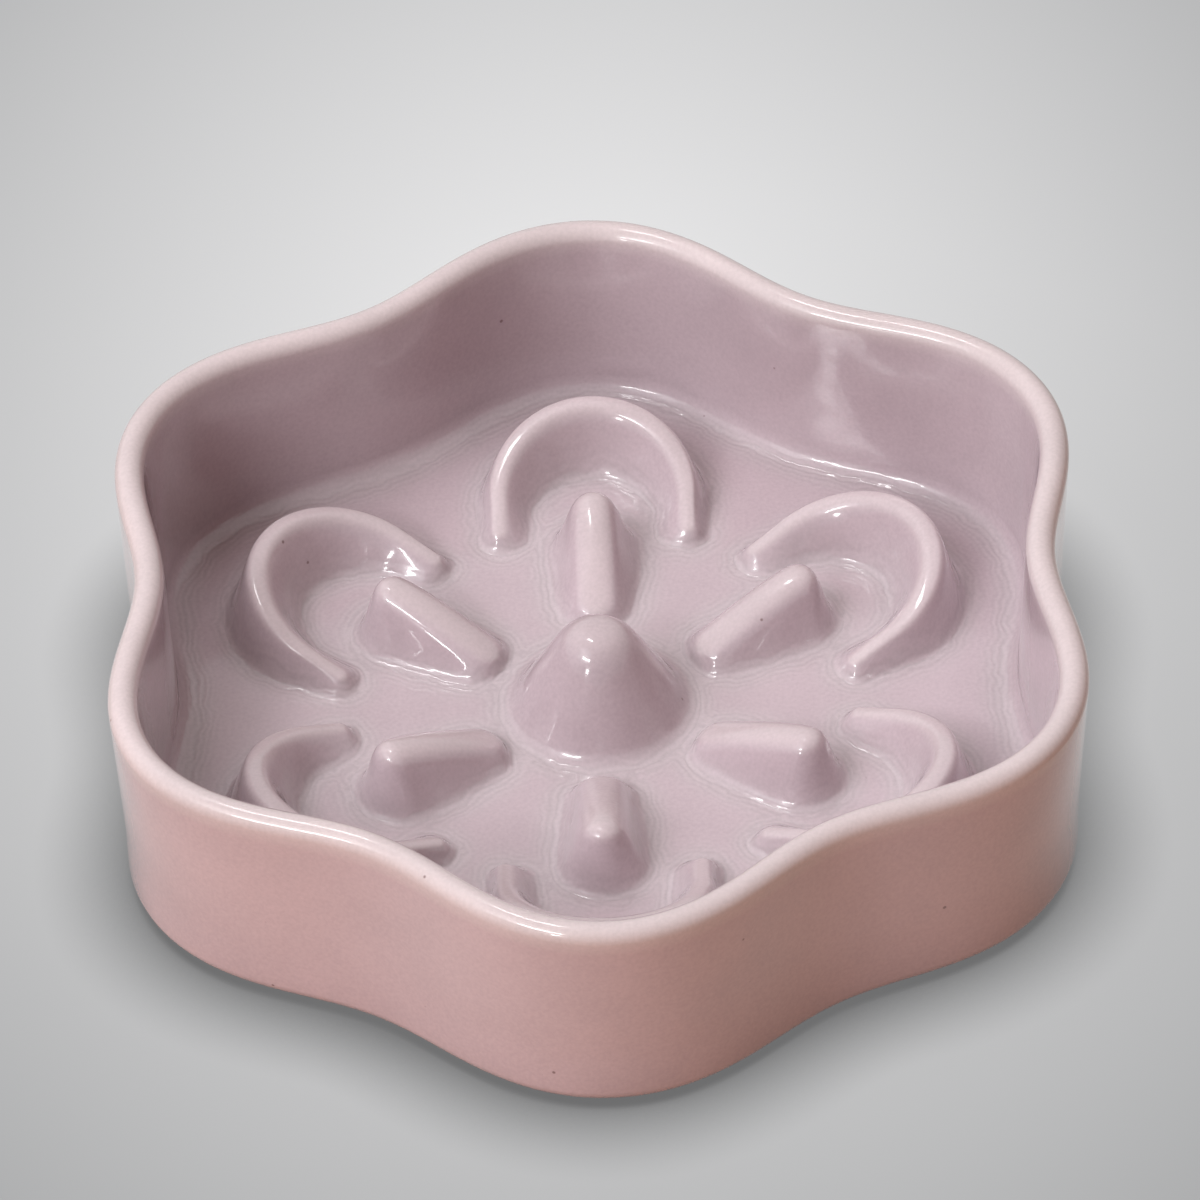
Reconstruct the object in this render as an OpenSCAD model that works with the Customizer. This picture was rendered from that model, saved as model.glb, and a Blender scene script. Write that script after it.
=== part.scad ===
// Slow feeder bowl in glazed ceramic. The wall follows a six-lobed outline, and the flat floor carries
// a centre cone, six radial ridges and six horseshoe ribs, one pair to each lobe.

/* [Bowl] */
// Mean radius of the outer face just under the lip, half way between a lobe and a notch
rim_r = 84.4; // [76:0.2:110]
// How far each lobe stands out past the mean radius, and each notch in from it
rim_lobe = 5.9; // [1:0.1:8]
// Height of the lip above the table
bowl_h = 42.6; // [34:0.2:60]
// Thickness of the wall just under its rounded lip
wall_t = 5.1; // [3.5:0.1:7]
// How much nearer the middle the outer face stands at the foot than at the lip
wall_lean = 1; // [0:0.1:8]
// How much shallower the lobes are at the foot than at the lip
lobe_fade = 0.9; // [0:0.1:0.9]
// How much thicker the wall is where its cove starts than under the lip
wall_grow = 0.8; // [0:0.1:2]
// Radius of the rounded outer edge at the bottom of the wall
foot_round = 2.8; // [1:0.1:3.5]

/* [Floor] */
// Thickness of the floor
floor_t = 4.4; // [3:0.1:7]
// How much higher the floor's underside stands than the bottom of the wall
floor_rise = 3; // [1:0.1:5]
// Radius of the cove where the wall runs into the floor
cove_r = 3.5; // [2:0.1:6]

/* [Foot ring] */
// Height of the bare foot ring
ring_h = 1.2; // [0.6:0.1:3]
// Width of the bare foot ring
ring_w = 4; // [2:0.1:5]
// Distance from the outer face in to the foot ring
ring_inset = 4.2; // [3.6:0.1:5]

/* [Centre cone] */
// Radius of the cone at the floor, with its flared foot
cone_r = 17.6; // [12:0.2:19]
// Height of the cone above the floor
cone_h = 18.2; // [8:0.2:26]

/* [Radial ridges] */
// Height of a ridge at its inner end
ridge_low_h = 3.6; // [2:0.1:10]
// Height of a ridge at its outer end
ridge_high_h = 11.2; // [6:0.1:20]
// Space between the cone's foot and a ridge's foot
cone_gap = 0.8; // [0.5:0.1:6]
// Space between a ridge's foot and the foot of the rib outside it
pocket_gap = 8.9; // [6:0.1:14]
// Space between the sides of a ridge and the two legs of the rib
leg_gap = 1; // [0.3:0.1:3]
// Slope length of a ridge's inner end, seen from above
ridge_tail = 3.6; // [2:0.1:6]
// Slope length of a ridge's outer end, seen from above
ridge_nose = 7.4; // [3:0.1:9]

/* [Horseshoe ribs] */
// Radius of a rib's crest line
rib_r = 16.6; // [15:0.1:18]
// Height of a rib's crest at its head, nearest the wall
rib_h = 12.2; // [5:0.1:16]
// Height of a rib's crest where its legs end
rib_tip_h = 3; // [1.5:0.1:6]
// Length of the straight stretch of a rib's leg
rib_leg = 6.8; // [3:0.1:9]
// Slope length on the outside of a rib's leg, seen from above
rib_out_leg = 4.1; // [3:0.1:5.5]
// Slope length on the outside of a rib at its head, seen from above
rib_out_head = 6.4; // [4:0.1:8]
// Slope length on the inside of a rib's leg, seen from above
rib_in_leg = 6.2; // [5:0.1:9]
// Slope length on the inside of a rib at its head, seen from above
rib_in_head = 8; // [6:0.1:11]
// Slope length at the end of a rib's leg, seen from above
rib_tip = 3.5; // [2:0.1:5]
// Space between the rib's foot and the cove of the wall
rib_gap = 7.3; // [3:0.1:9]

/* [Finish] */
// Colour of the glaze
glaze_colour = "#cbb0b4";
// Colour of the bare fired clay
clay_colour = "#d9c8b8";

/* [Hidden] */

// Lobes round the bowl, each with one ridge and one rib
lobes = 6;
// Angle of the first lobe, and the angle from one lobe to the next
first_lobe = 30;
lobe_step = 360 / lobes;
// Depth of the second wave, which flattens the lobes, as a share of the lobe depth
flat_share = 0.044;

// Points round the outline, and steps of each rounded stretch of the wall's section
outline_steps = 96;
lip_steps = 8;
cove_steps = 5;
foot_steps = 4;

// Levels of the section
floor_base = ring_h + floor_rise;
floor_top = floor_base + floor_t;
cove_top = floor_top + cove_r;
lip_r = wall_t / 2;
lip_z = bowl_h - lip_r;
floor_inset = wall_t + wall_grow + cove_r;

// Outline at the foot of the wall
foot_r = rim_r - wall_lean;
foot_lobe = rim_lobe - lobe_fade;

// Width of a ridge's inner end as a share of its slope length there
tail_w_share = 2.1;

// Places along one lobe's axis, from the wall inwards
floor_edge = foot_r + foot_lobe * (1 - flat_share) - floor_inset;
rib_centre = floor_edge - rib_gap - rib_out_head - rib_r;
rib_head_foot = rib_centre + rib_r - rib_in_head;
ridge_end = rib_head_foot - pocket_gap;
ridge_start = cone_r + cone_gap;
ridge_w = rib_r - rib_in_leg - leg_gap;
ridge_tail_w = min(ridge_w, ridge_tail * tail_w_share);

// Power of a ridge's climb: below 1 the crest is bowed upwards
climb_share = 0.8;

// How far out of the spine, and how far up, each ring of a flank stands
ridge_flank_shares = [
    [1, 0], [0.88, 0.05], [0.79, 0.16], [0.66, 0.42], [0.52, 0.67], [0.38, 0.85], [0.24, 0.95], [0.1, 1]
];
rib_flank_shares = [
    [1, 0], [0.87, 0.05], [0.76, 0.15], [0.6, 0.4], [0.43, 0.7], [0.27, 0.9], [0.1, 1]
];

// Section of the cone as shares of its radius and of its height
cone_shares = [
    [1, 0], [0.925, 0.02], [0.86, 0.055], [0.8, 0.115], [0.72, 0.25], [0.625, 0.41], [0.53, 0.57],
    [0.445, 0.71], [0.385, 0.8], [0.31, 0.88], [0.235, 0.94], [0.155, 0.975], [0.075, 0.995]
];

// Stations of the spines, and steps of the fan round each end of a spine
ridge_stations = 5;
head_steps = 14;
leg_steps = 3;
fan_steps = 4;

// Radius of the outer face at angle a, where share runs from 0 at the foot to 1 at the lip
function face_r(a, share) =
    foot_r + (rim_r - foot_r) * share
    - (foot_lobe + (rim_lobe - foot_lobe) * share) * (cos(lobes * a) + flat_share * cos(2 * lobes * a));

// Change of that radius for each radian
function face_slope(a, share) =
    (foot_lobe + (rim_lobe - foot_lobe) * share)
    * (lobes * sin(lobes * a) + 2 * lobes * flat_share * sin(2 * lobes * a));

// Point at a distance in from the outer face, measured square to the face
function inset_point(a, share, inset) =
    let (
        r = face_r(a, share),
        s = face_slope(a, share),
        across = [s * cos(a) - r * sin(a), s * sin(a) + r * cos(a)]
    )
    [r * cos(a), r * sin(a)] - inset * [across.y, -across.x] / norm(across);

// The outline at the foot, set in by a distance
function outline(inset) =
    [for (i = [0:outline_steps - 1]) inset_point(i * 360 / outline_steps, 0, inset)];

// Share of the way from the foot outline to the lip outline at height z
function lean_share(z) = max(0, z - cove_top) / (bowl_h - cove_top);

// Section of the wall as insets and heights, from its inner bottom edge round the outside and back
wall_section = concat(
    [[floor_inset, ring_h]],
    [for (i = [0:foot_steps])
        let (t = 90 * i / foot_steps)
        [foot_round * (1 - sin(t)), ring_h + foot_round * (1 - cos(t))]],
    [[0, cove_top]],
    [for (i = [0:lip_steps])
        let (t = 180 * i / lip_steps)
        [lip_r * (1 - cos(t)), lip_z + lip_r * sin(t)]],
    [for (i = [0:cove_steps])
        let (t = 90 * i / cove_steps)
        [floor_inset - cove_r * cos(t), cove_top - cove_r * sin(t)]]
);

// Two triangles for each cell of a band between two rows of points
function cell(a, b, c, d) = [[a, b, c], [a, c, d]];

// Faces of a ring-shaped tube of sections, each with count points
function loop_faces(sections, count) =
    [for (i = [0:sections - 1], k = [0:count - 1])
        let (j = (i + 1) % sections, m = (k + 1) % count)
        each cell(i * count + k, i * count + m, j * count + m, j * count + k)];

// Unit vector at angle a
function direction(a) = [cos(a), sin(a)];

// Value or point a share of the way from one to another
function blend(from, to, share) = from + (to - from) * share;

// A relief's side is a list of [spine point, direction, slope length, height], from one end to the other.
// This is the fan of slopes round an end of a spine, from the middle of the end towards one side.
function fan(point, end_a, side_a, end_slope, side_slope, rise) =
    [for (i = [0:fan_steps - 1])
        let (share = (i + 0.5) / fan_steps)
        [point, direction(blend(end_a, side_a, share)), blend(end_slope, side_slope, pow(share, 2)), rise]];

// The same list from its end to its start
function backwards(list) = [for (i = [len(list) - 1:-1:0]) list[i]];

// One ring of points round a relief
function relief_ring(sides, share) =
    [for (s = sides)
        let (place = s[0] + s[1] * s[2] * share.x)
        [place.x, place.y, floor_top + s[3] * share.y]];

// Closed solid whose sides climb from the floor to a crest along its spine
module relief(near_side, far_side, shares) {
    sides = concat(near_side, backwards(far_side));
    count = len(sides);
    last = len(shares) - 1;
    half = count / 2;
    points = [for (share = shares) each relief_ring(sides, share)];
    walls = [for (k = [0:last - 1], i = [0:count - 1])
        let (j = (i + 1) % count)
        each cell(k * count + i, (k + 1) * count + i, (k + 1) * count + j, k * count + j)];
    base = [for (i = [0:half - 2])
        each cell(i, i + 1, count - 2 - i, count - 1 - i)];
    crest = [for (i = [0:half - 2])
        each cell(
            last * count + count - 1 - i, last * count + count - 2 - i,
            last * count + i + 1, last * count + i)];
    polyhedron(points, concat(walls, base, crest));
}

// Sides of one ridge that lies along the X axis
function ridge_side(sign) =
    let (
        tail = [ridge_start + ridge_tail, 0],
        nose = [ridge_end - ridge_nose, 0],
        stations = [for (i = [0:ridge_stations - 1]) i / (ridge_stations - 1)]
    )
    concat(
        fan(tail, 180, sign * 90 + (sign < 0 ? 360 : 0), ridge_tail, ridge_tail_w, ridge_low_h),
        [for (share = stations)
            [
                blend(tail, nose, share),
                direction(sign * 90),
                blend(ridge_tail_w, ridge_w, sin(90 * share)),
                blend(ridge_low_h, ridge_high_h, pow(share, climb_share))
            ]],
        backwards(fan(nose, 0, sign * 90, ridge_nose, ridge_w, ridge_high_h))
    );

// Spine of one rib as [point, direction square to it, share of the way from leg to head]
rib_spine = concat(
    [for (i = [0:leg_steps - 1]) [[rib_centre - rib_leg * (1 - i / leg_steps), rib_r], 90, 0]],
    [for (i = [0:head_steps])
        let (a = 90 - 180 * i / head_steps)
        [[rib_centre, 0] + rib_r * direction(a), a, 1 - pow(1 - cos(a), 2)]],
    [for (i = [leg_steps - 1:-1:0]) [[rib_centre - rib_leg * (1 - i / leg_steps), -rib_r], -90, 0]]
);

// Height of the crest, which slopes evenly from the head down to the ends of the legs
function rib_rise(point) =
    blend(rib_tip_h, rib_h, (point.x - rib_centre + rib_leg) / (rib_r + rib_leg));

// Sides of one rib whose head points along the X axis
function rib_side(outer) =
    let (
        first = rib_spine[0],
        final = rib_spine[len(rib_spine) - 1],
        slope = outer ? rib_out_leg : rib_in_leg
    )
    concat(
        fan(first[0], 180, outer ? 90 : 270, rib_tip, slope, rib_rise(first[0])),
        [for (s = rib_spine)
            [
                s[0],
                direction(s[1]) * (outer ? 1 : -1),
                outer ? blend(rib_out_leg, rib_out_head, s[2]) : blend(rib_in_leg, rib_in_head, s[2]),
                rib_rise(s[0])
            ]],
        backwards(fan(final[0], 180, outer ? 270 : 90, rib_tip, slope, rib_rise(final[0])))
    );

// Turns a relief from the X axis to its own lobe, counted anticlockwise
module at_lobe(number) {
    rotate(first_lobe + lobe_step * (number - 1)) children();
}

module bowl_wall() {
    color(glaze_colour)
        polyhedron(
            [for (i = [0:outline_steps - 1], s = wall_section)
                let (p = inset_point(i * 360 / outline_steps, lean_share(s.y), s.x))
                [p.x, p.y, s.y]],
            loop_faces(outline_steps, len(wall_section)));
}

module bowl_floor() {
    color(glaze_colour)
        translate([0, 0, floor_base])
            linear_extrude(floor_t)
                polygon(outline(floor_inset));
}

module foot_ring() {
    color(clay_colour)
        linear_extrude(ring_h)
            difference() {
                polygon(outline(ring_inset));
                polygon(outline(ring_inset + ring_w));
            }
}

module centre_cone() {
    color(glaze_colour)
        translate([0, 0, floor_top])
            rotate_extrude()
                polygon(concat(
                    [[0, 0]],
                    [for (share = cone_shares) [cone_r * share.x, cone_h * share.y]],
                    [[0, cone_h]]));
}

module ridge(number) {
    color(glaze_colour)
        at_lobe(number)
            relief(ridge_side(-1), ridge_side(1), ridge_flank_shares);
}

module horseshoe_rib(number) {
    color(glaze_colour)
        at_lobe(number)
            relief(rib_side(false), rib_side(true), rib_flank_shares);
}

bowl_wall();
bowl_floor();
foot_ring();
centre_cone();
ridge(1);  // ridge_1
ridge(2);  // ridge_2
ridge(3);  // ridge_3
ridge(4);  // ridge_4
ridge(5);  // ridge_5
ridge(6);  // ridge_6
horseshoe_rib(1);  // horseshoe_rib_1
horseshoe_rib(2);  // horseshoe_rib_2
horseshoe_rib(3);  // horseshoe_rib_3
horseshoe_rib(4);  // horseshoe_rib_4
horseshoe_rib(5);  // horseshoe_rib_5
horseshoe_rib(6);  // horseshoe_rib_6
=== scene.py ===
"""Slow feeder bowl in glazed ceramic: its finished look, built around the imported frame.

Every piece is worked out in millimetres, in the frame's own axes, and is turned to metres when
its mesh is made. Each piece stands for one node of the frame and keeps its place and reach.
"""
import logging
import math
from dataclasses import dataclass, field
from enum import Enum
from typing import Sequence

import bmesh
import bpy
import numpy as np
from mathutils import Matrix, Vector


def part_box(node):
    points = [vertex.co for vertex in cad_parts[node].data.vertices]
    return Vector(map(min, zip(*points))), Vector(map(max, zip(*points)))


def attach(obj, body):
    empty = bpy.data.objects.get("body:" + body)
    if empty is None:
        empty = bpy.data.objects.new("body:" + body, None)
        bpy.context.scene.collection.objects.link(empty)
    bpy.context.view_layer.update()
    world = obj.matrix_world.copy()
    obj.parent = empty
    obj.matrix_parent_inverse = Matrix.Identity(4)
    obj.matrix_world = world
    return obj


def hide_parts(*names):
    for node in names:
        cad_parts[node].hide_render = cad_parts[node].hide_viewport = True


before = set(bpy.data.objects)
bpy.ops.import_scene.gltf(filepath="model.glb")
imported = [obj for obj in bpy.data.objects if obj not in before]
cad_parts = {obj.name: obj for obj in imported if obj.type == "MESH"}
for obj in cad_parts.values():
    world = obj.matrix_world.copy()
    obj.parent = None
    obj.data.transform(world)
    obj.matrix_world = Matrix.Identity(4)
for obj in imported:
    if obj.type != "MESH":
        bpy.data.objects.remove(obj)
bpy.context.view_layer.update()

MM = 0.001
FULL_TURN = 2 * math.pi
ROOT_BODY = "root"
FAR = 1000.0
MIRROR = np.array([1.0, -1.0])
LOG = logging.getLogger("slow_feeder_bowl")

Rgb = tuple[float, float, float]
Controls = Sequence[tuple[float, ...]]
Faces = list[tuple[int, ...]]
Socket = bpy.types.NodeSocket

COOL: Rgb = (0.96, 1.0, 1.02)


class Slot(Enum):
    """Material slots of the record that a piece takes its finish from."""

    GLAZE = "glaze"
    BARE_CLAY = "bare_clay"


class Coat(Enum):
    """Vertex values that tell the glaze how it lies on a piece, and where a lighter colour is
    painted as sheen.
    """

    # The thin value lays a lighter colour on edges and tops, partly thinner glaze and partly
    # painted sheen.
    THIN = "glaze_thin_and_sheen"
    POOLED = "glaze_pooled"
    RING = "glaze_ring"
    OUTSIDE = "glaze_outside"


def linear(red: int, green: int, blue: int) -> Rgb:
    """Turns a colour in screen values into linear light, by the standard sRGB curve.

    Args:
        red: red, from 0 to 255.
        green: green, from 0 to 255.
        blue: blue, from 0 to 255.

    Returns:
        The same colour in linear light, from 0 to 1.
    """
    shares = (red / 255, green / 255, blue / 255)
    return tuple(s / 12.92 if s <= 0.04045 else ((s + 0.055) / 1.055) ** 2.4 for s in shares)


def spline(controls: Controls, count: int) -> np.ndarray:
    """Draws the clamped cubic B-spline of a few control points.

    Args:
        controls: control points, each with the same number of values.
        count: how many points to give along the curve.

    Returns:
        An array with one row for each point along the curve.
    """
    degree = 3
    points = np.array(controls, float)
    spans = len(points) - degree
    knots = np.clip(np.arange(-degree, spans + degree + 1.0), 0, spans)
    places = np.linspace(0, spans, count)[:, None]
    places[-1] = np.nextafter(spans, 0)
    weights = ((knots[:-1] <= places) & (places < knots[1:])).astype(float)
    for order in range(1, degree + 1):
        before = knots[order:-1] - knots[:-order - 1]
        after = knots[order + 1:] - knots[1:-order]
        rising = (places - knots[:-order - 1]) / np.where(before > 0, before, np.inf)
        falling = (knots[order + 1:] - places) / np.where(after > 0, after, np.inf)
        weights = rising * weights[:, :-1] + falling * weights[:, 1:]
    return weights @ points


def ease(low: float, high: float, value: np.ndarray) -> np.ndarray:
    """Gives 0 below low, 1 above high and a soft step between them."""
    share = np.clip((value - low) / (high - low), 0, 1)
    return share * share * (3 - 2 * share)


def around(steps: int) -> np.ndarray:
    """Gives evenly spaced angles round a full turn."""
    return np.arange(steps) * FULL_TURN / steps


def arc(steps: int, turn: float) -> np.ndarray:
    """Gives the angles of an arc's points, from nothing to its turn."""
    return np.linspace(0, turn, steps + 1)


def headings(angles: np.ndarray) -> np.ndarray:
    """Gives the direction of each angle, seen from above."""
    return np.stack([np.cos(angles), np.sin(angles)], 1)


def at_height(ring: np.ndarray, z: float) -> np.ndarray:
    """Lifts points, seen from above, to one height."""
    return np.column_stack([ring, np.full(len(ring), z)])


def turned(points: np.ndarray, angle: float) -> np.ndarray:
    """Turns points, seen from above, round the bowl's axis."""
    cosine, sine = math.cos(angle), math.sin(angle)
    return points @ np.array([[cosine, sine], [-sine, cosine]])


def gathered(distance: np.ndarray) -> dict[Coat, np.ndarray]:
    """Works out how glaze gathers along the line where a form lands on the floor.

    Args:
        distance: millimetres from that line, less than nothing on the form itself.

    Returns:
        How much glaze has gathered, and the distance that its faint rings follow.
    """
    reach = 2.6
    return {Coat.POOLED: np.exp(-((distance / reach) ** 2)), Coat.RING: distance}


def distance_to(points: np.ndarray, loop: np.ndarray) -> np.ndarray:
    """Measures how far points are from a closed line.

    Args:
        points: the points, one row each.
        loop: the corners of the line, one row each.

    Returns:
        The distance of each point.
    """
    nearest = np.full(len(points), np.inf)
    for corner, step in zip(loop, np.roll(loop, -1, 0) - loop):
        share = np.clip((points - corner) @ step / (step @ step), 0, 1)
        away = points - corner - share[:, None] * step
        nearest = np.minimum(nearest, np.linalg.norm(away, axis=1))
    return nearest


def softened(values: np.ndarray, passes: int) -> np.ndarray:
    """Rounds off the corners of values that run round a closed loop.

    Args:
        values: one value for each place on the loop.
        passes: how many times each value is averaged with its two neighbours.

    Returns:
        The softened values.
    """
    for _ in range(passes):
        values = (np.roll(values, 1) + 2 * values + np.roll(values, -1)) / 4
    return values


def ring_faces(rings: int, count: int, wrapped: bool = False) -> Faces:
    """Joins each ring of points to the next with quads.

    Args:
        rings: how many rings there are.
        count: points in each ring.
        wrapped: whether the last ring joins the first.

    Returns:
        One quad for each step round each pair of rings.
    """
    faces = []
    for ring in range(rings if wrapped else rings - 1):
        first, second = ring * count, (ring + 1) % rings * count
        faces += [
            (first + i, first + (i + 1) % count, second + (i + 1) % count, second + i)
            for i in range(count)
        ]
    return faces


def make_piece(
    name: str, points: np.ndarray, faces: Faces, coats: dict[Coat, np.ndarray]
) -> bpy.types.Object:
    """Makes a closed, smooth-shaded mesh object with crisp edges where its faces turn sharply.

    Args:
        name: the piece's name.
        points: its points in millimetres, one row each.
        faces: its faces as tuples of indices.
        coats: values at the points that say how the glaze lies there, and where sheen is painted.

    Returns:
        The new object.
    """
    crisp_angle = math.radians(38)
    mesh = bpy.data.meshes.new(name)
    mesh.from_pydata((points * MM).tolist(), [], faces)
    shape = bmesh.new()
    shape.from_mesh(mesh)
    bmesh.ops.recalc_face_normals(shape, faces=shape.faces)
    shape.to_mesh(mesh)
    shape.free()
    mesh.shade_smooth()
    mesh.set_sharp_from_angle(angle=crisp_angle)
    bare = np.zeros(len(points))
    for coat in Coat:
        layer = mesh.attributes.new(coat.value, "FLOAT", "POINT")
        layer.data.foreach_set("value", coats.get(coat, bare).astype(np.float32))
    piece = bpy.data.objects.new(name, mesh)
    bpy.context.scene.collection.objects.link(piece)
    return piece


def seat(piece: bpy.types.Object, node: str, material: bpy.types.Material) -> None:
    """Lets a piece stand for its node of the frame and gives it its finish.

    Args:
        piece: the finished mesh object.
        node: the frame's node that it stands for.
        material: the finish.
    """
    piece.data.materials.append(material)
    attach(piece, ROOT_BODY)
    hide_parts(node)
    LOG.info("%s stands for %s with %d faces", piece.name, node, len(piece.data.polygons))


def node_box(node: str) -> tuple[np.ndarray, np.ndarray]:
    """Gives the lowest and highest corner of a frame node, in millimetres."""
    low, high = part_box(node)
    return np.array(low) / MM, np.array(high) / MM


@dataclass(frozen=True)
class Noise:
    """One noise texture, and the two values of it between which a finish changes."""

    scale: float
    detail: float
    low: float = 0.3
    high: float = 0.7


@dataclass(frozen=True)
class Bump:
    """How strongly a bump shows and how high it stands, in millimetres."""

    strength: float
    height: float


class Nodes:
    """A few short ways to add and join the nodes of one material."""

    def __init__(self, tree: bpy.types.NodeTree) -> None:
        """Keeps the tree that the nodes go into."""
        self.tree = tree

    def add(self, kind: str) -> bpy.types.Node:
        """Adds a node of a kind."""
        return self.tree.nodes.new(kind)

    def link(self, start: Socket, end: Socket) -> None:
        """Joins an output to an input."""
        self.tree.links.new(start, end)

    def noise(self, place: Socket, noise: Noise) -> Socket:
        """Adds a noise texture.

        Args:
            place: the place on the piece.
            noise: how fine and how detailed it is.

        Returns:
            The noise's own value.
        """
        node = self.add("ShaderNodeTexNoise")
        node.inputs["Scale"].default_value = noise.scale
        node.inputs["Detail"].default_value = noise.detail
        self.link(place, node.inputs["Vector"])
        return node.outputs["Fac"]

    def spread(self, value: Socket, noise: Noise, start: float, end: float) -> Socket:
        """Maps a noise's value onto the span from start to end."""
        return self.span(value, noise.low, noise.high, start, end)

    def value(self, coat: Coat) -> Socket:
        """Reads the value of a coat at each point of the mesh.

        Args:
            coat: which of the coat's values to read.

        Returns:
            The value.
        """
        node = self.add("ShaderNodeAttribute")
        node.attribute_name = coat.value
        return node.outputs["Fac"]

    def looked_at(self) -> Socket:
        """Tells whether a surface is looked at.

        Returns:
            1 where it is seen directly, in a gloss or through glass, and 0 for the light it sheds.
        """
        path = self.add("ShaderNodeLightPath").outputs
        direct_or_gloss = self.calc("MAXIMUM", path["Is Camera Ray"], path["Is Glossy Ray"])
        return self.calc("MAXIMUM", direct_or_gloss, path["Is Transmission Ray"])

    def span(
        self, value: Socket, low: float, high: float, start: float, end: float, clamp: bool = True
    ) -> Socket:
        """Maps a value between low and high onto the span from start to end.

        Args:
            value: the value to map.
            low: the value that gives start.
            high: the value that gives end.
            start: what low and less give.
            end: what high and more give.
            clamp: whether values past low and high stop at start and end.

        Returns:
            The mapped value.
        """
        node = self.add("ShaderNodeMapRange")
        node.clamp = clamp
        numbers = {"From Min": low, "From Max": high, "To Min": start, "To Max": end}
        for name, number in numbers.items():
            node.inputs[name].default_value = number
        self.link(value, node.inputs["Value"])
        return node.outputs["Result"]

    def calc(self, operation: str, *values: Socket) -> Socket:
        """Works out one value from others.

        Args:
            operation: what the math node does.
            values: the values that go into it.

        Returns:
            The worked-out value.
        """
        node = self.add("ShaderNodeMath")
        node.operation = operation
        for socket, value in zip(node.inputs, values):
            self.link(value, socket)
        return node.outputs["Value"]

    def mix(self, share: Socket, under: Rgb | Socket, over: Rgb | Socket) -> Socket:
        """Lays one colour over another by a share.

        Args:
            share: how much of the upper colour shows.
            under: the lower colour.
            over: the upper colour.

        Returns:
            The mixed colour.
        """
        node = self.add("ShaderNodeMix")
        node.data_type = "RGBA"
        self.link(share, node.inputs["Factor"])
        for name, colour in (("A", under), ("B", over)):
            socket = next(s for s in node.inputs if s.name == name and s.type == "RGBA")
            if isinstance(colour, tuple):
                socket.default_value = (*colour, 1.0)
            else:
                self.link(colour, socket)
        return next(s for s in node.outputs if s.type == "RGBA")

    def tint(self, colour: Socket, value: Socket) -> Socket:
        """Makes a colour lighter or darker.

        Args:
            colour: the colour.
            value: how many times as bright it becomes.

        Returns:
            The tinted colour.
        """
        node = self.add("ShaderNodeVectorMath")
        node.operation = "SCALE"
        self.link(colour, node.inputs[0])
        self.link(value, node.inputs["Scale"])
        return node.outputs["Vector"]

    def bump(self, rise: Socket, bump: Bump, normal: Socket | None = None) -> Socket:
        """Adds a bump.

        Args:
            rise: where the surface rises, in shares of the bump's height.
            bump: how strong and how high it is.
            normal: the normal that it adds to, if there is one.

        Returns:
            The bumped normal.
        """
        node = self.add("ShaderNodeBump")
        node.inputs["Strength"].default_value = bump.strength
        node.inputs["Distance"].default_value = bump.height * MM
        self.link(rise, node.inputs["Height"])
        if normal is not None:
            self.link(normal, node.inputs["Normal"])
        return node.outputs["Normal"]


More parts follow.
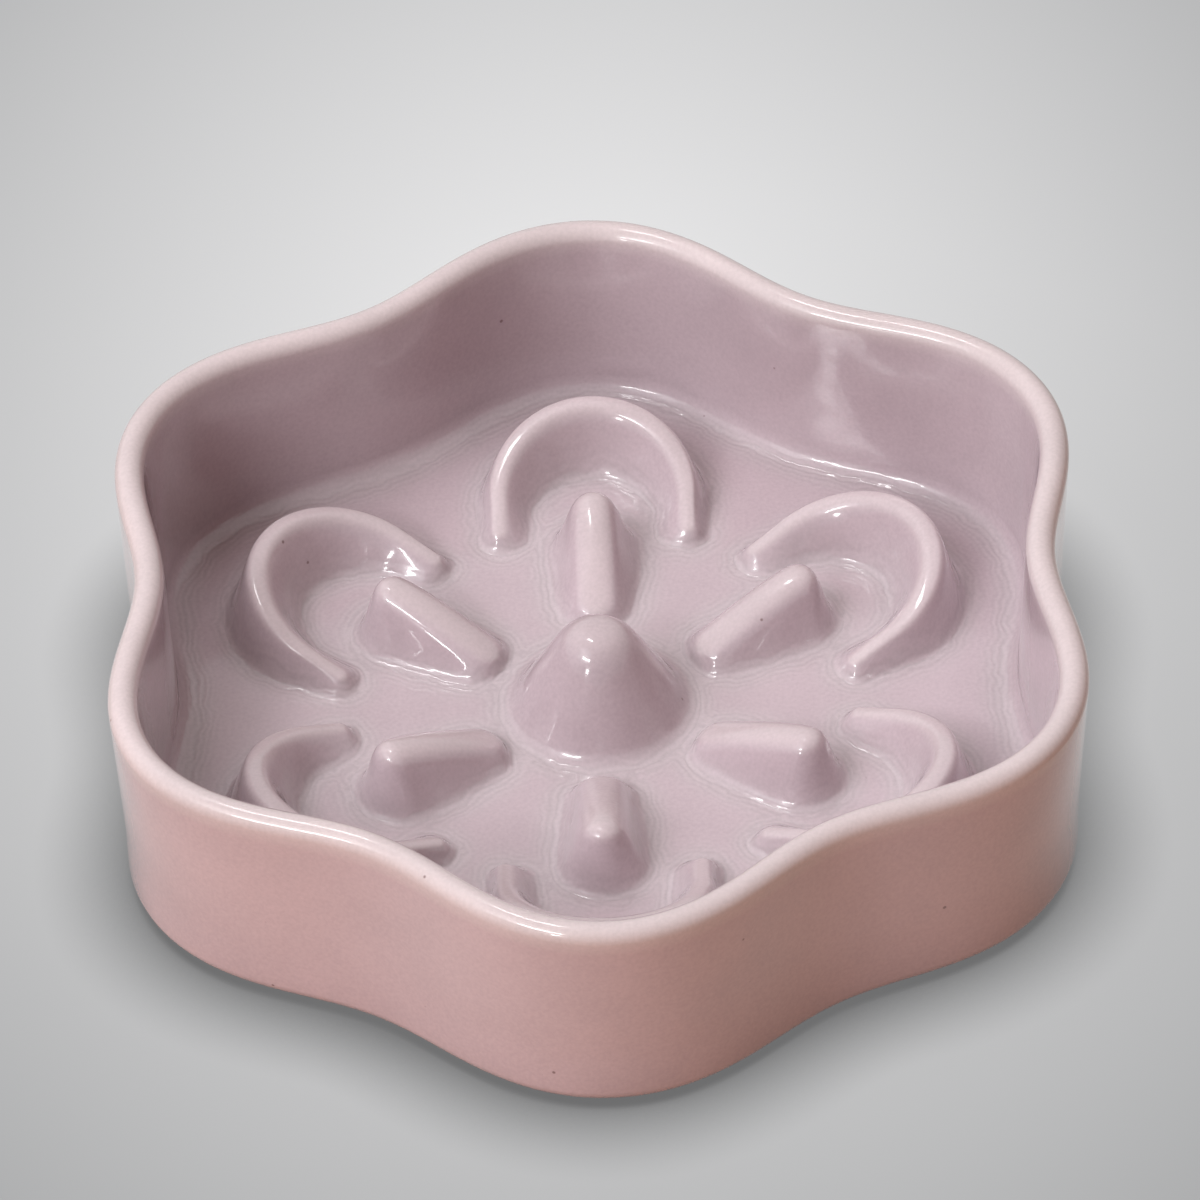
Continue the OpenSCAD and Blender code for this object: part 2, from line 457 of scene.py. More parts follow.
@dataclass(frozen=True)
class Glaze:
    """Gloss mauve-pink glaze over a pale body, thicker where it gathers, and lighter on edges and
    tops, partly as thinner glaze and partly as painted sheen.

    The rings are faint lines along the reliefs' feet, where glaze has gathered, partly painted
    highlight lines. The specks are small dark grains, few and far between.
    """

    inside: Rgb = linear(191, 173, 180)
    outside: Rgb = linear(197, 174, 180)
    # The lighter colour of edges and tops, partly thinner glaze and partly painted sheen.
    thin_and_sheen: Rgb = linear(212, 198, 200)
    pooled: Rgb = linear(190, 176, 181)
    speck: Rgb = linear(120, 92, 90)
    roughness: float = 0.21
    roughness_change: float = 0.04
    coat_roughness: float = 0.04
    ior: float = 1.5
    clouds: Noise = Noise(scale=55, detail=3)
    grain: Noise = Noise(scale=1500, detail=2)
    mottling: float = 0.045
    ring_gap: float = 1.15
    ring_drift: Noise = Noise(scale=160, detail=2)
    ring_wobble: float = 0.8
    # How far the rings lighten and darken the colour, partly as painted highlight lines.
    ring_tint_and_highlight: float = 0.05
    speck_scale: float = 150
    speck_core: float = 0.035
    speck_edge: float = 0.06
    rare_from: float = 0.66
    rare_to: float = 0.68
    speck_share: float = 0.8
    waves: Noise = Noise(scale=120, detail=1)
    wave_bump: Bump = Bump(strength=0.25, height=0.25)
    ring_bump: Bump = Bump(strength=1.0, height=0.02)
    grain_bump: Bump = Bump(strength=0.12, height=0.03)

    def material(self) -> bpy.types.Material:
        """Builds the glaze as a procedural material.

        Returns:
            The new material.
        """
        made = bpy.data.materials.new("mauve_glaze")
        made.use_nodes = True
        tree = Nodes(made.node_tree)
        shader = made.node_tree.nodes["Principled BSDF"]
        shader.inputs["IOR"].default_value = self.ior
        shader.inputs["Coat Weight"].default_value = 1.0
        shader.inputs["Coat Roughness"].default_value = self.coat_roughness
        place = tree.add("ShaderNodeTexCoord").outputs["Object"]
        cloudy = tree.noise(place, self.clouds)
        grainy = tree.noise(place, self.grain)
        rings = self.rings(tree, place)
        dark, light = 1 - self.mottling, 1 + self.mottling
        colour = tree.mix(tree.value(Coat.OUTSIDE), self.inside, self.outside)
        colour = tree.mix(tree.value(Coat.POOLED), colour, self.pooled)
        # Painted sheen: edges and tops take a lighter colour, partly for thinner glaze.
        colour = tree.mix(tree.value(Coat.THIN), colour, self.thin_and_sheen)
        # Painted highlight lines: the rings lighten and darken the colour along the reliefs' feet.
        ring_tint_and_highlight = tree.span(rings, -1.0, 1.0, 1 - self.ring_tint_and_highlight, 1 + self.ring_tint_and_highlight)
        colour = tree.tint(colour, ring_tint_and_highlight)
        colour = tree.tint(colour, tree.spread(cloudy, self.clouds, dark, light))
        colour = tree.tint(colour, tree.spread(grainy, self.grain, dark, light))
        colour = tree.mix(self.specks(tree, place), colour, self.speck)
        tree.link(colour, shader.inputs["Base Color"])
        smooth = self.roughness - self.roughness_change
        dull = self.roughness + self.roughness_change
        tree.link(tree.spread(cloudy, self.clouds, smooth, dull), shader.inputs["Roughness"])
        waved = tree.bump(tree.noise(place, self.waves), self.wave_bump)
        rippled = tree.bump(rings, self.ring_bump, normal=waved)
        skin = tree.bump(grainy, self.grain_bump, normal=rippled)
        tree.link(skin, shader.inputs["Normal"])
        tree.link(rippled, shader.inputs["Coat Normal"])
        return made

    def rings(self, tree: Nodes, place: Socket) -> Socket:
        """Draws the rings along the reliefs' feet.

        Args:
            tree: the material's nodes.
            place: the place on the bowl.

        Returns:
            A value from -1 to 1 across each ring, and 0 where no glaze has gathered.
        """
        drift = tree.noise(place, self.ring_drift)
        wobble = tree.spread(drift, self.ring_drift, -self.ring_wobble, self.ring_wobble)
        phase = tree.calc("ADD", tree.value(Coat.RING), wobble)
        phase = tree.span(phase, 0.0, self.ring_gap, 0.0, FULL_TURN, clamp=False)
        return tree.calc("MULTIPLY", tree.calc("SINE", phase), tree.value(Coat.POOLED))

    def specks(self, tree: Nodes, place: Socket) -> Socket:
        """Scatters the specks.

        Args:
            tree: the material's nodes.
            place: the place on the bowl.

        Returns:
            How much of a speck shows, from 0 to 1.
        """
        spots = tree.add("ShaderNodeTexVoronoi")
        spots.inputs["Scale"].default_value = self.speck_scale
        tree.link(place, spots.inputs["Vector"])
        dots = tree.span(spots.outputs["Distance"], self.speck_core, self.speck_edge, 1.0, 0.0)
        chance = spots.outputs["Color"]
        rarity = tree.span(chance, self.rare_from, self.rare_to, 0.0, self.speck_share)
        return tree.calc("MULTIPLY", dots, rarity)


@dataclass(frozen=True)
class BareClay:
    """Matt fired clay, left without glaze."""

    body: Rgb = linear(222, 208, 192)
    grit: Rgb = linear(176, 152, 130)
    roughness: float = 0.85
    grains: Noise = Noise(scale=1400, detail=3, low=0.52, high=0.72)
    grit_share: float = 0.7
    grit_bump: Bump = Bump(strength=0.5, height=0.1)

    def material(self) -> bpy.types.Material:
        """Builds the bare clay as a procedural material.

        Returns:
            The new material.
        """
        made = bpy.data.materials.new("bare_clay")
        made.use_nodes = True
        tree = Nodes(made.node_tree)
        shader = made.node_tree.nodes["Principled BSDF"]
        shader.inputs["Roughness"].default_value = self.roughness
        place = tree.add("ShaderNodeTexCoord").outputs["Object"]
        grains = tree.noise(place, self.grains)
        share = tree.spread(grains, self.grains, 0.0, self.grit_share)
        tree.link(tree.mix(share, self.body, self.grit), shader.inputs["Base Color"])
        tree.link(tree.bump(grains, self.grit_bump), shader.inputs["Normal"])
        return made


@dataclass
class Outline:
    """Six-lobed outline of the outer face, a little fuller and deeper at the lip than below."""

    rim_r: float = 84.4
    rim_lobe: float = 5.9
    wall_lean: float = 1.0
    lobe_fade: float = 0.9
    flat_share: float = 0.044
    lobes: int = 6
    steps: int = 432

    def ring(self, share: float, inset: float) -> np.ndarray:
        """Gives one ring of points parallel to the outer face.

        Args:
            share: 0 at the foot outline and 1 at the lip outline.
            inset: distance in from the outer face, square to it.

        Returns:
            The ring's points, seen from above.
        """
        a = around(self.steps)
        depth = self.rim_lobe - self.lobe_fade * (1 - share)
        wave = np.cos(self.lobes * a) + self.flat_share * np.cos(2 * self.lobes * a)
        turn = np.sin(self.lobes * a) + 2 * self.flat_share * np.sin(2 * self.lobes * a)
        reach = self.rim_r - self.wall_lean * (1 - share) - depth * wave
        slope = depth * self.lobes * turn
        outward = headings(a)
        sideways = np.stack([-np.sin(a), np.cos(a)], 1)
        square = outward * reach[:, None] - sideways * slope[:, None]
        square /= np.linalg.norm(square, axis=1)[:, None]
        return outward * reach[:, None] - square * inset


@dataclass
class Wall:
    """Lobed wall with a round lip, a round outer bottom edge and a cove that lands on the floor."""

    outline: Outline
    height: float
    foot: float
    floor_top: float
    thickness: float = 5.1
    growth: float = 0.8
    cove_r: float = 3.5
    foot_round: float = 2.8
    full_thin_and_sheen: float = 0.3
    outer_share: float = 0.2
    inner_share: float = 0.8
    lip_steps: int = 28
    cove_steps: int = 24
    foot_steps: int = 12
    face_steps: int = 14

    @property
    def floor_inset(self) -> float:
        """Distance from the outer face in to the floor's own edge."""
        return self.thickness + self.growth + self.cove_r

    def section(self) -> np.ndarray:
        """Works out the wall's section.

        Returns:
            Rows of inset, height, thin glaze and painted sheen, distance from the floor's edge and
            outside, from the inner bottom edge round the outside, over the lip and down the inside.
        """
        cove_top = self.floor_top + self.cove_r
        lip_r = self.thickness / 2
        lip_z = self.height - lip_r
        foot = arc(self.foot_steps, math.pi / 2)
        lip = arc(self.lip_steps, math.pi)
        cove = arc(self.cove_steps, math.pi / 2)
        climb = np.linspace(0, 1, self.face_steps + 2)[1:-1]
        under = np.array([[self.floor_inset, self.foot]])
        edge = np.stack([1 - np.sin(foot), 1 - np.cos(foot)], 1) * self.foot_round + [0, self.foot]
        edge_top = self.foot + self.foot_round
        face = np.stack([np.zeros_like(climb), edge_top + (lip_z - edge_top) * climb], 1)
        over = np.stack([lip_r * (1 - np.cos(lip)), lip_z + lip_r * np.sin(lip)], 1)
        inner_top = np.array([self.thickness, lip_z])
        inner = inner_top + np.outer(climb, [self.growth, cove_top - lip_z])
        bend = np.array([self.floor_inset, cove_top]) - self.cove_r * headings(cove)
        line = np.concatenate([under, edge, face, over, inner, bend])
        inset, z = line[:, 0], line[:, 1]
        # Painted sheen: the top of the lip takes a lighter colour, partly for thinner glaze.
        thin_and_sheen = ease(lip_z - lip_r, self.height - lip_r * self.full_thin_and_sheen, z)
        up_the_face = -self.cove_r * math.pi / 2 - inner[:, 1] + cove_top
        up_the_cove = self.cove_r * (cove - math.pi / 2)
        elsewhere = np.full(len(line) - len(inner) - len(bend), FAR)
        past_cove = np.concatenate([elsewhere, up_the_face, up_the_cove])
        outside = 1 - ease(self.outer_share, self.inner_share, inset / self.thickness)
        # The underside's inner edge is coated as the outside is.
        outside[0] = 1.0
        return np.stack([inset, z, thin_and_sheen, past_cove, outside], 1)

    def build(self) -> bpy.types.Object:
        """Builds the wall as one closed ring.

        Returns:
            The new object.
        """
        section = self.section()
        cove_top = self.floor_top + self.cove_r
        rings = []
        for inset, z, *_ in section:
            share = max(0.0, z - cove_top) / (self.height - cove_top)
            rings.append(at_height(self.outline.ring(share, inset), z))
        steps = self.outline.steps
        coats = {
            Coat.THIN: np.repeat(section[:, 2], steps),
            Coat.OUTSIDE: np.repeat(section[:, 4], steps),
            **gathered(np.repeat(section[:, 3], steps)),
        }
        faces = ring_faces(len(section), steps, wrapped=True)
        return make_piece("glazed_wall", np.concatenate(rings), faces, coats)


@dataclass
class Floor:
    """Flat glazed floor that fills the wall from cove to cove.

    The feet are the lines where one lobe's ridge and rib and the cone land on the floor, seen from
    above with the lobe's axis along x.
    """

    outline: Outline
    inset: float
    bottom: float
    top: float
    feet: list[np.ndarray]
    first_lobe: float
    lobes: int
    rows: int = 46
    last_share: float = 0.04

    def foot_distance(self, points: np.ndarray) -> np.ndarray:
        """Measures how far points of the floor are from the nearest foot or from the cove.

        Args:
            points: the points seen from above, one row each.

        Returns:
            The distance of each point.
        """
        sector = FULL_TURN / self.lobes
        angle = np.arctan2(points[:, 1], points[:, 0]) - self.first_lobe
        angle -= np.round(angle / sector) * sector
        reach = np.linalg.norm(points, axis=1)
        folded = reach[:, None] * headings(angle)
        edge = self.outline.ring(0.0, self.inset)
        loops = [*self.feet, turned(edge, -self.first_lobe)]
        return np.min([distance_to(folded, loop) for loop in loops], axis=0)

    def build(self) -> bpy.types.Object:
        """Builds the floor as a closed plate with a fine upper face.

        Returns:
            The new object.
        """
        edge = self.outline.ring(0.0, self.inset)
        steps = len(edge)
        shares = np.linspace(1.0, self.last_share, self.rows)
        upper = np.concatenate([edge * share for share in shares])
        seen = np.concatenate([edge, upper])
        z = np.repeat([self.bottom, self.top], [steps, len(upper)])
        faces = [tuple(range(steps)), tuple(range(len(seen) - steps, len(seen)))]
        faces += ring_faces(self.rows + 1, steps)
        coats = gathered(self.foot_distance(seen))
        return make_piece("glazed_floor", np.column_stack([seen, z]), faces, coats)


@dataclass
class FootRing:
    """Bare ring that the bowl stands on, with soft lower edges from wiping the glaze off."""

    outline: Outline
    top: float
    inset: float = 4.2
    width: float = 4.0
    edge_r: float = 0.5
    edge_steps: int = 6

    def build(self) -> bpy.types.Object:
        """Builds the ring with its rounded lower edges.

        Returns:
            The new object.
        """
        turn = arc(self.edge_steps, math.pi / 2)
        outer = self.inset + self.edge_r * (1 - np.cos(turn))
        inner = self.inset + self.width - self.edge_r * (1 - np.cos(turn))
        low = self.edge_r * (1 - np.sin(turn))
        section = [(self.inset, self.top), *zip(outer, low), *zip(inner[::-1], low[::-1])]
        section.append((self.inset + self.width, self.top))
        rings = [at_height(self.outline.ring(0.0, inset), z) for inset, z in section]
        faces = ring_faces(len(section), self.outline.steps, wrapped=True)
        return make_piece("bare_foot_ring", np.concatenate(rings), faces, {})


@dataclass
class Cone:
    """Centre cone with a flared foot, straight sides and a domed top.

    The controls hold how far out and how far up each point of the profile is, in shares.
    """

    radius: float
    bottom: float
    top: float
    controls: Controls = (
        (1.0, 0.0), (0.975, 0.0), (0.93, 0.005), (0.87, 0.03), (0.81, 0.085),
        (0.73, 0.23), (0.62, 0.42), (0.51, 0.61), (0.42, 0.765), (0.345, 0.87),
        (0.25, 0.955), (0.14, 0.993), (0.07, 1.0), (0.01, 1.0),
    )
    rows: int = 72
    steps: int = 144
    thin_and_sheen_from: float = 0.8
    thin_and_sheen_share: float = 0.3

    def build(self) -> bpy.types.Object:
        """Builds the cone as a closed turned form.

        Returns:
            The new object.
        """
        profile = spline(self.controls, self.rows)
        circle = headings(around(self.steps))
        levels = self.bottom + (self.top - self.bottom) * profile[:, 1]
        outs = self.radius * profile[:, 0]
        rings = [at_height(circle * out, z) for out, z in zip(outs, levels)]
        last = (self.rows - 1) * self.steps
        faces = [tuple(range(self.steps)), *ring_faces(self.rows, self.steps)]
        faces.append(tuple(range(last, last + self.steps)))
        # Painted sheen: the domed top takes a lighter colour, partly for thinner glaze.
        thin_and_sheen = ease(self.thin_and_sheen_from, 1.0, profile[:, 1])
        past_foot = np.repeat(outs - self.radius, self.steps)
        coats = {
            Coat.THIN: np.repeat(thin_and_sheen, self.steps) * self.thin_and_sheen_share,
            **gathered(past_foot),
        }
        return make_piece("glazed_cone", np.concatenate(rings), faces, coats)

    def foot(self) -> np.ndarray:
        """Gives the line where the cone lands on the floor."""
        return self.radius * headings(around(self.steps))


@dataclass
class Loop:
    """Stations round a relief: first along one side of its spine, then back along the other.

    Each station stands at a point of the spine and looks down its slope in its heading. The slope
    and the crest's half width are lengths. Steep is the share of the steep flank in its profile,
    and lean is 1 where the height follows the rise at each point and 0 where it keeps the spine's.
    """

    spine: np.ndarray
    heading: np.ndarray
    slope: np.ndarray
    crest: np.ndarray
    steep: np.ndarray
    lean: np.ndarray


@dataclass
class Relief:
    """A raised form along a spine, whose sides land softly on the floor.

    The two flank curves have three values to a control point: how much of the crest's half width
    and how much of the slope beyond it lie between the spine and the point, and how far up it is.
    The steep curve takes over where the loop's steep value is 1.
    """

    floor_top: float
    gentle_flank: Controls
    steep_flank: Controls
    rows: int = 40
    thin_and_sheen_from: float = 0.78
    thin_and_sheen_share: float = 0.5

    def loop(self) -> Loop:
        """Gives the stations round the relief."""
        raise NotImplementedError

    def rise(self, x: np.ndarray) -> np.ndarray:
        """Gives the height of the crest above the floor at places along the lobe's axis."""
        raise NotImplementedError

    def build(self, name: str, turn: float) -> bpy.types.Object:
        """Builds the relief on its own lobe.

        Args:
            name: the piece's name.
            turn: the angle of the lobe's axis, in radians.

        Returns:
            The new object.
        """
        loop = self.loop()
        gentle = spline(self.gentle_flank, self.rows)[:, None, :]
        steep = spline(self.steep_flank, self.rows)[:, None, :]
        mixed = gentle + (steep - gentle) * loop.steep[None, :, None]
        reach = loop.crest * mixed[..., 0] + (loop.slope - loop.crest) * mixed[..., 1]
        places = loop.spine[None] + loop.heading[None] * reach[..., None]
        up = mixed[..., 2]
        at_spine = self.rise(loop.spine[:, 0])
        height = at_spine + (self.rise(places[..., 0]) - at_spine) * loop.lean
        z = self.floor_top + height * up
        points = np.concatenate([turned(places, turn), z[..., None]], 2).reshape(-1, 3)
        count = len(loop.slope)
        faces = ring_faces(self.rows, count)
        for start in (0, (self.rows - 1) * count):
            end = start + count - 1
            faces += [
                (start + i, start + i + 1, end - 1 - i, end - i) for i in range(count // 2 - 1)
            ]
        coats = {
            # Painted sheen: the crests take a lighter colour, partly for thinner glaze.
            Coat.THIN: ease(self.thin_and_sheen_from, 1.0, up).ravel() * self.thin_and_sheen_share,
            **gathered((reach - loop.slope).ravel()),
        }
        return make_piece(name, points, faces, coats)

    def foot(self) -> np.ndarray:
        """Gives the line where the relief lands on the floor, with the lobe's axis along x."""
        loop = self.loop()
        return loop.spine + loop.heading * loop.slope[:, None]


@dataclass
class Ridge(Relief):
    """Fin that climbs from the cone to its nose, with a teardrop foot."""

    start: float = 0.0
    end: float = 0.0
    half_w: float = 0.0
    high: float = 0.0
    low: float = 3.6
    tail: float = 3.6
    nose: float = 7.4
    tail_w_share: float = 2.1
    crest_w: float = 1.6
    bow: float = 1.32
    steep_from: float = 0.6
    nose_steep: float = 0.4
    slope_passes: int = 10
    steep_passes: int = 6
    stations: int = 30
    fan: int = 14

    @property
    def tail_x(self) -> float:
        """Place of the spine's lower end along the lobe's axis."""
        return self.start + self.tail

    @property
    def nose_x(self) -> float:
        """Place of the spine's upper end along the lobe's axis."""
        return self.end - self.nose

    def loop(self) -> Loop:
        """Gives the stations round the ridge, and fans of them round both of its ends.

        Returns:
            The stations.
        """
        quarter = math.pi / 2
        tail_w = min(self.half_w, self.tail * self.tail_w_share)
        along = np.linspace(0, 1, self.stations)
        opening = (np.arange(self.fan) + 0.5) / self.fan
        closing = opening[::-1]
        x = np.concatenate([
            np.full(self.fan, self.tail_x),
            self.tail_x + (self.nose_x - self.tail_x) * along,
            np.full(self.fan, self.nose_x),
        ])
        a = np.concatenate([
            math.pi - opening * quarter,
            np.full(self.stations, quarter),
            closing * quarter,
        ])
        slope = np.concatenate([
            self.tail + (tail_w - self.tail) * opening**2,
            tail_w + (self.half_w - tail_w) * np.sin(along * quarter),
            self.nose + (self.half_w - self.nose) * closing**2,
        ])
        steep = np.concatenate([
            np.zeros(self.fan),
            ease(self.steep_from, 1.0, along) * self.nose_steep,
            self.nose_steep + (1 - self.nose_steep) * (1 - closing),
        ])
        upper = headings(a)
        lower = upper[::-1] * MIRROR
        spine = np.stack([x, np.zeros_like(x)], 1)
        count = 2 * len(x)
        return Loop(
            spine=np.concatenate([spine, spine[::-1]]),
            heading=np.concatenate([upper, lower]),
            slope=softened(np.concatenate([slope, slope[::-1]]), self.slope_passes),
            crest=np.full(count, self.crest_w),
            steep=softened(np.concatenate([steep, steep[::-1]]), self.steep_passes),
            lean=np.ones(count),
        )

    def rise(self, x: np.ndarray) -> np.ndarray:
        """Climbs from the tail in a line that bows upwards and is level at the nose."""
        left = np.clip((self.nose_x - x) / (self.nose_x - self.tail_x), 0, None)
        return self.high - (self.high - self.low) * left**self.bow


@dataclass
class HorseshoeRib(Relief):
    """Rib bent like a horseshoe round a ridge's outer end, low at its ends, high at its head."""

    head_end: float = 0.0
    high: float = 0.0
    spine_r: float = 16.6
    tip_h: float = 3.0
    leg: float = 6.8
    out_leg: float = 4.1
    out_head: float = 6.4
    in_leg: float = 6.2
    in_head: float = 8.0
    tip: float = 3.5
    tip_steep: float = 0.5
    crest_w: float = 1.4
    crest_taper: float = 0.5
    slope_passes: int = 8
    steep_passes: int = 4
    leg_stations: int = 11
    head_stations: int = 60
    fan: int = 12

    @property
    def centre(self) -> float:
        """Place of the head's centre along the lobe's axis."""
        return self.head_end - self.out_head - self.spine_r

    def side(self, outer: bool) -> list[np.ndarray]:
        """Gives the stations along one side of the rib, from the end of one leg to the other.

        Args:
            outer: whether it is the outside of the horseshoe.

        Returns:
            Spine points, headings, slope lengths, steepness and lean, one row to a station.
        """
        sign, side_steep = (1.0, 1.0) if outer else (-1.0, 0.0)
        down = np.linspace(self.leg, 0, self.leg_stations + 1)[:-1]
        bend = np.linspace(math.pi / 2, -math.pi / 2, self.head_stations + 1)
        legs = len(down)
        first_leg = np.column_stack([self.centre - down, np.full(legs, self.spine_r)])
        head = np.column_stack([
            self.centre + self.spine_r * np.cos(bend),
            self.spine_r * np.sin(bend),
        ])
        spine = np.concatenate([first_leg, head, first_leg[::-1] * MIRROR])
        a = np.concatenate([np.full(legs, math.pi / 2), bend, np.full(legs, -math.pi / 2)])
        outward = headings(a)
        headness = 1 - (1 - np.clip(outward[:, 0], 0, 1)) ** 2
        leg_slope = self.out_leg if outer else self.in_leg
        head_slope = self.out_head if outer else self.in_head
        slope = leg_slope + (head_slope - leg_slope) * headness
        spread = (np.arange(self.fan) + 0.5) / self.fan
        fan_heading = headings(math.pi - sign * spread * math.pi / 2)
        fan_slope = self.tip + (leg_slope - self.tip) * spread**2
        fan_steep = self.tip_steep + (side_steep - self.tip_steep) * spread
        on_leg = (headness <= 0).astype(float)
        first_tip, last_tip = (np.repeat(end, self.fan, 0) for end in (spine[:1], spine[-1:]))
        return [
            np.concatenate([first_tip, spine, last_tip]),
            np.concatenate([fan_heading, outward * sign, fan_heading[::-1] * MIRROR]),
            np.concatenate([fan_slope, slope, fan_slope[::-1]]),
            np.concatenate([fan_steep, np.full(len(spine), side_steep), fan_steep[::-1]]),
            np.concatenate([np.ones(self.fan), on_leg, np.ones(self.fan)]),
        ]

    def loop(self) -> Loop:
        """Gives the stations round the rib, down its inside and back along its outside.

        Returns:
            The stations.
        """
        sides = zip(self.side(outer=False), self.side(outer=True))
        spine, heading, slope, steep, lean = (np.concatenate([i, o[::-1]]) for i, o in sides)
        share = (self.rise(spine[:, 0]) / self.high) ** self.crest_taper
        slope = softened(slope, self.slope_passes)
        steep = softened(steep, self.steep_passes)
        return Loop(spine, heading, slope, self.crest_w * share, steep, lean)

    def rise(self, x: np.ndarray) -> np.ndarray:
        """Falls evenly from the head to the ends of the legs."""
        share = (x - self.centre + self.leg) / (self.spine_r + self.leg)
        return self.tip_h + (self.high - self.tip_h) * share


RIDGE_GENTLE: Controls = (
    (1, 1, 0), (1, 0.94, 0), (1, 0.85, 0.01), (1, 0.74, 0.06), (1, 0.6, 0.24), (1, 0.46, 0.53),
    (1, 0.31, 0.8), (1, 0.12, 0.955), (0.6, 0, 1), (0.06, 0, 1),
)
RIDGE_STEEP: Controls = (
    (1, 1, 0), (1, 0.94, 0), (1, 0.84, 0.01), (1, 0.7, 0.07), (1, 0.54, 0.28), (1, 0.4, 0.59),
    (1, 0.25, 0.85), (1, 0.08, 0.97), (0.6, 0, 1), (0.06, 0, 1),
)
RIB_GENTLE: Controls = (
    (1, 1, 0), (1, 0.95, 0), (1, 0.87, 0.02), (1, 0.74, 0.1), (1, 0.55, 0.36), (1, 0.36, 0.64),
    (1, 0.18, 0.86), (1, 0.04, 0.97), (0.6, 0, 1), (0.08, 0, 1),
)
RIB_STEEP: Controls = (
    (1, 1, 0), (1, 0.95, 0), (1, 0.86, 0.02), (1, 0.72, 0.1), (1, 0.52, 0.38), (1, 0.34, 0.68),
    (1, 0.17, 0.89), (1, 0.04, 0.98), (0.6, 0, 1), (0.08, 0, 1),
)


@dataclass
class Bowl:
    """The whole bowl: wall, floor, foot ring, cone, ridges and ribs."""

    glaze: bpy.types.Material
    clay: bpy.types.Material
    outline: Outline = field(default_factory=Outline)
    lobes: int = 6
    first_lobe: float = math.radians(30)
    level_lobe: int = 2

    def build(self) -> None:
        """Builds every piece and seats it on the frame."""
        wall, cone, ridge, rib = self.wall(), self.cone(), self.ridge(), self.rib()
        floor_low, floor_high = node_box("bowl_floor")
        feet = [cone.foot(), ridge.foot(), rib.foot()]
        plate = Floor(
            self.outline, wall.floor_inset, bottom=floor_low[2], top=floor_high[2],
            feet=feet, first_lobe=self.first_lobe, lobes=self.lobes,
        )
        seat(wall.build(), "bowl_wall", self.glaze)
        seat(plate.build(), "bowl_floor", self.glaze)
        seat(FootRing(self.outline, top=wall.foot).build(), "foot_ring", self.clay)
        seat(cone.build(), "centre_cone", self.glaze)
        for number in range(1, self.lobes + 1):
            axis = self.first_lobe + FULL_TURN / self.lobes * (number - 1)
            fin = ridge.build(f"glazed_ridge_{number}", axis)
            seat(fin, f"ridge_{number}", self.glaze)
            horseshoe = rib.build(f"glazed_rib_{number}", axis)
            seat(horseshoe, f"horseshoe_rib_{number}", self.glaze)

    def wall(self) -> Wall:
        """Measures the wall by its node and by the floor's."""
        (low, high), (_, floor_high) = node_box("bowl_wall"), node_box("bowl_floor")
        return Wall(self.outline, height=high[2], foot=low[2], floor_top=floor_high[2])

    def cone(self) -> Cone:
        """Measures the centre cone by its node."""
        low, high = node_box("centre_cone")
        return Cone(radius=high[0], bottom=low[2], top=high[2])

    def ridge(self) -> Ridge:
        """Measures the ridges by the one that lies along an axis of the frame."""
        low, high = node_box(f"ridge_{self.level_lobe}")
        return Ridge(
            floor_top=low[2], gentle_flank=RIDGE_GENTLE, steep_flank=RIDGE_STEEP,
            start=low[1], end=high[1], half_w=high[0], high=high[2] - low[2],
        )

    def rib(self) -> HorseshoeRib:
        """Measures the horseshoe ribs by the one that lies along an axis of the frame."""
        low, high = node_box(f"horseshoe_rib_{self.level_lobe}")
        return HorseshoeRib(
            floor_top=low[2], gentle_flank=RIB_GENTLE, steep_flank=RIB_STEEP,
            head_end=high[1], high=high[2] - low[2],
        )


@dataclass
class Camera:
    """Camera that sees the bowl as the photograph does: from the front, looking down."""

    elevation: float = math.radians(43.02)
    roll: float = math.radians(-1.725)
    distance: float = 1.495
    aim_rise: float = 0.02335
    stand_height: float = 0.0012
    lens: float = 259.6
    sensor: float = 36.0
    clip_end: float = 50.0

    def build(self) -> None:
        """Makes the camera and hands it to the scene."""
        back = Vector((0, -math.cos(self.elevation), math.sin(self.elevation)))
        level_right = Vector((1, 0, 0))
        level_up = back.cross(level_right)
        right = level_right * math.cos(self.roll) + level_up * math.sin(self.roll)
        up = level_up * math.cos(self.roll) - level_right * math.sin(self.roll)
        place = back * self.distance + up * self.aim_rise + Vector((0, 0, self.stand_height))
        data = bpy.data.cameras.new("photo_camera")
        data.sensor_width = self.sensor
        data.lens = self.lens
        data.clip_end = self.clip_end
        camera = bpy.data.objects.new("photo_camera", data)
        camera.matrix_world = Matrix((
            (right.x, up.x, back.x, place.x),
            (right.y, up.y, back.y, place.y),
            (right.z, up.z, back.z, place.z),
            (0, 0, 0, 1),
        ))
        bpy.context.scene.collection.objects.link(camera)
        bpy.context.scene.camera = camera


@dataclass(frozen=True)
class Softbox:
    """One rectangular lamp that faces the bowl, placed by its direction and its distance.

    Angles are in degrees and lengths in metres. A lamp that is kept out of the gloss lights the
    bowl, but isn't mirrored in it or in the floor.
    """

    name: str
    azimuth: float
    elevation: float
    distance: float
    width: float
    length: float
    watts: float
    colour: Rgb = (1.0, 1.0, 1.0)
    in_gloss: bool = True

    def build(self) -> None:
        """Makes the lamp and turns it to the bowl."""
        turn, above = math.radians(self.azimuth), math.radians(self.elevation)
        level = math.cos(above)
        towards = Vector((math.cos(turn) * level, math.sin(turn) * level, math.sin(above)))
        place = towards * self.distance
        data = bpy.data.lights.new(self.name, "AREA")
        data.shape = "RECTANGLE"
        data.size = self.width
        data.size_y = self.length
        data.energy = self.watts
        data.color = self.colour
        lamp = bpy.data.objects.new(self.name, data)
        lamp.location = place
        lamp.rotation_euler = (-place).to_track_quat("-Z", "Y").to_euler()
        lamp.visible_camera = False
        lamp.visible_glossy = self.in_gloss
        bpy.context.scene.collection.objects.link(lamp)


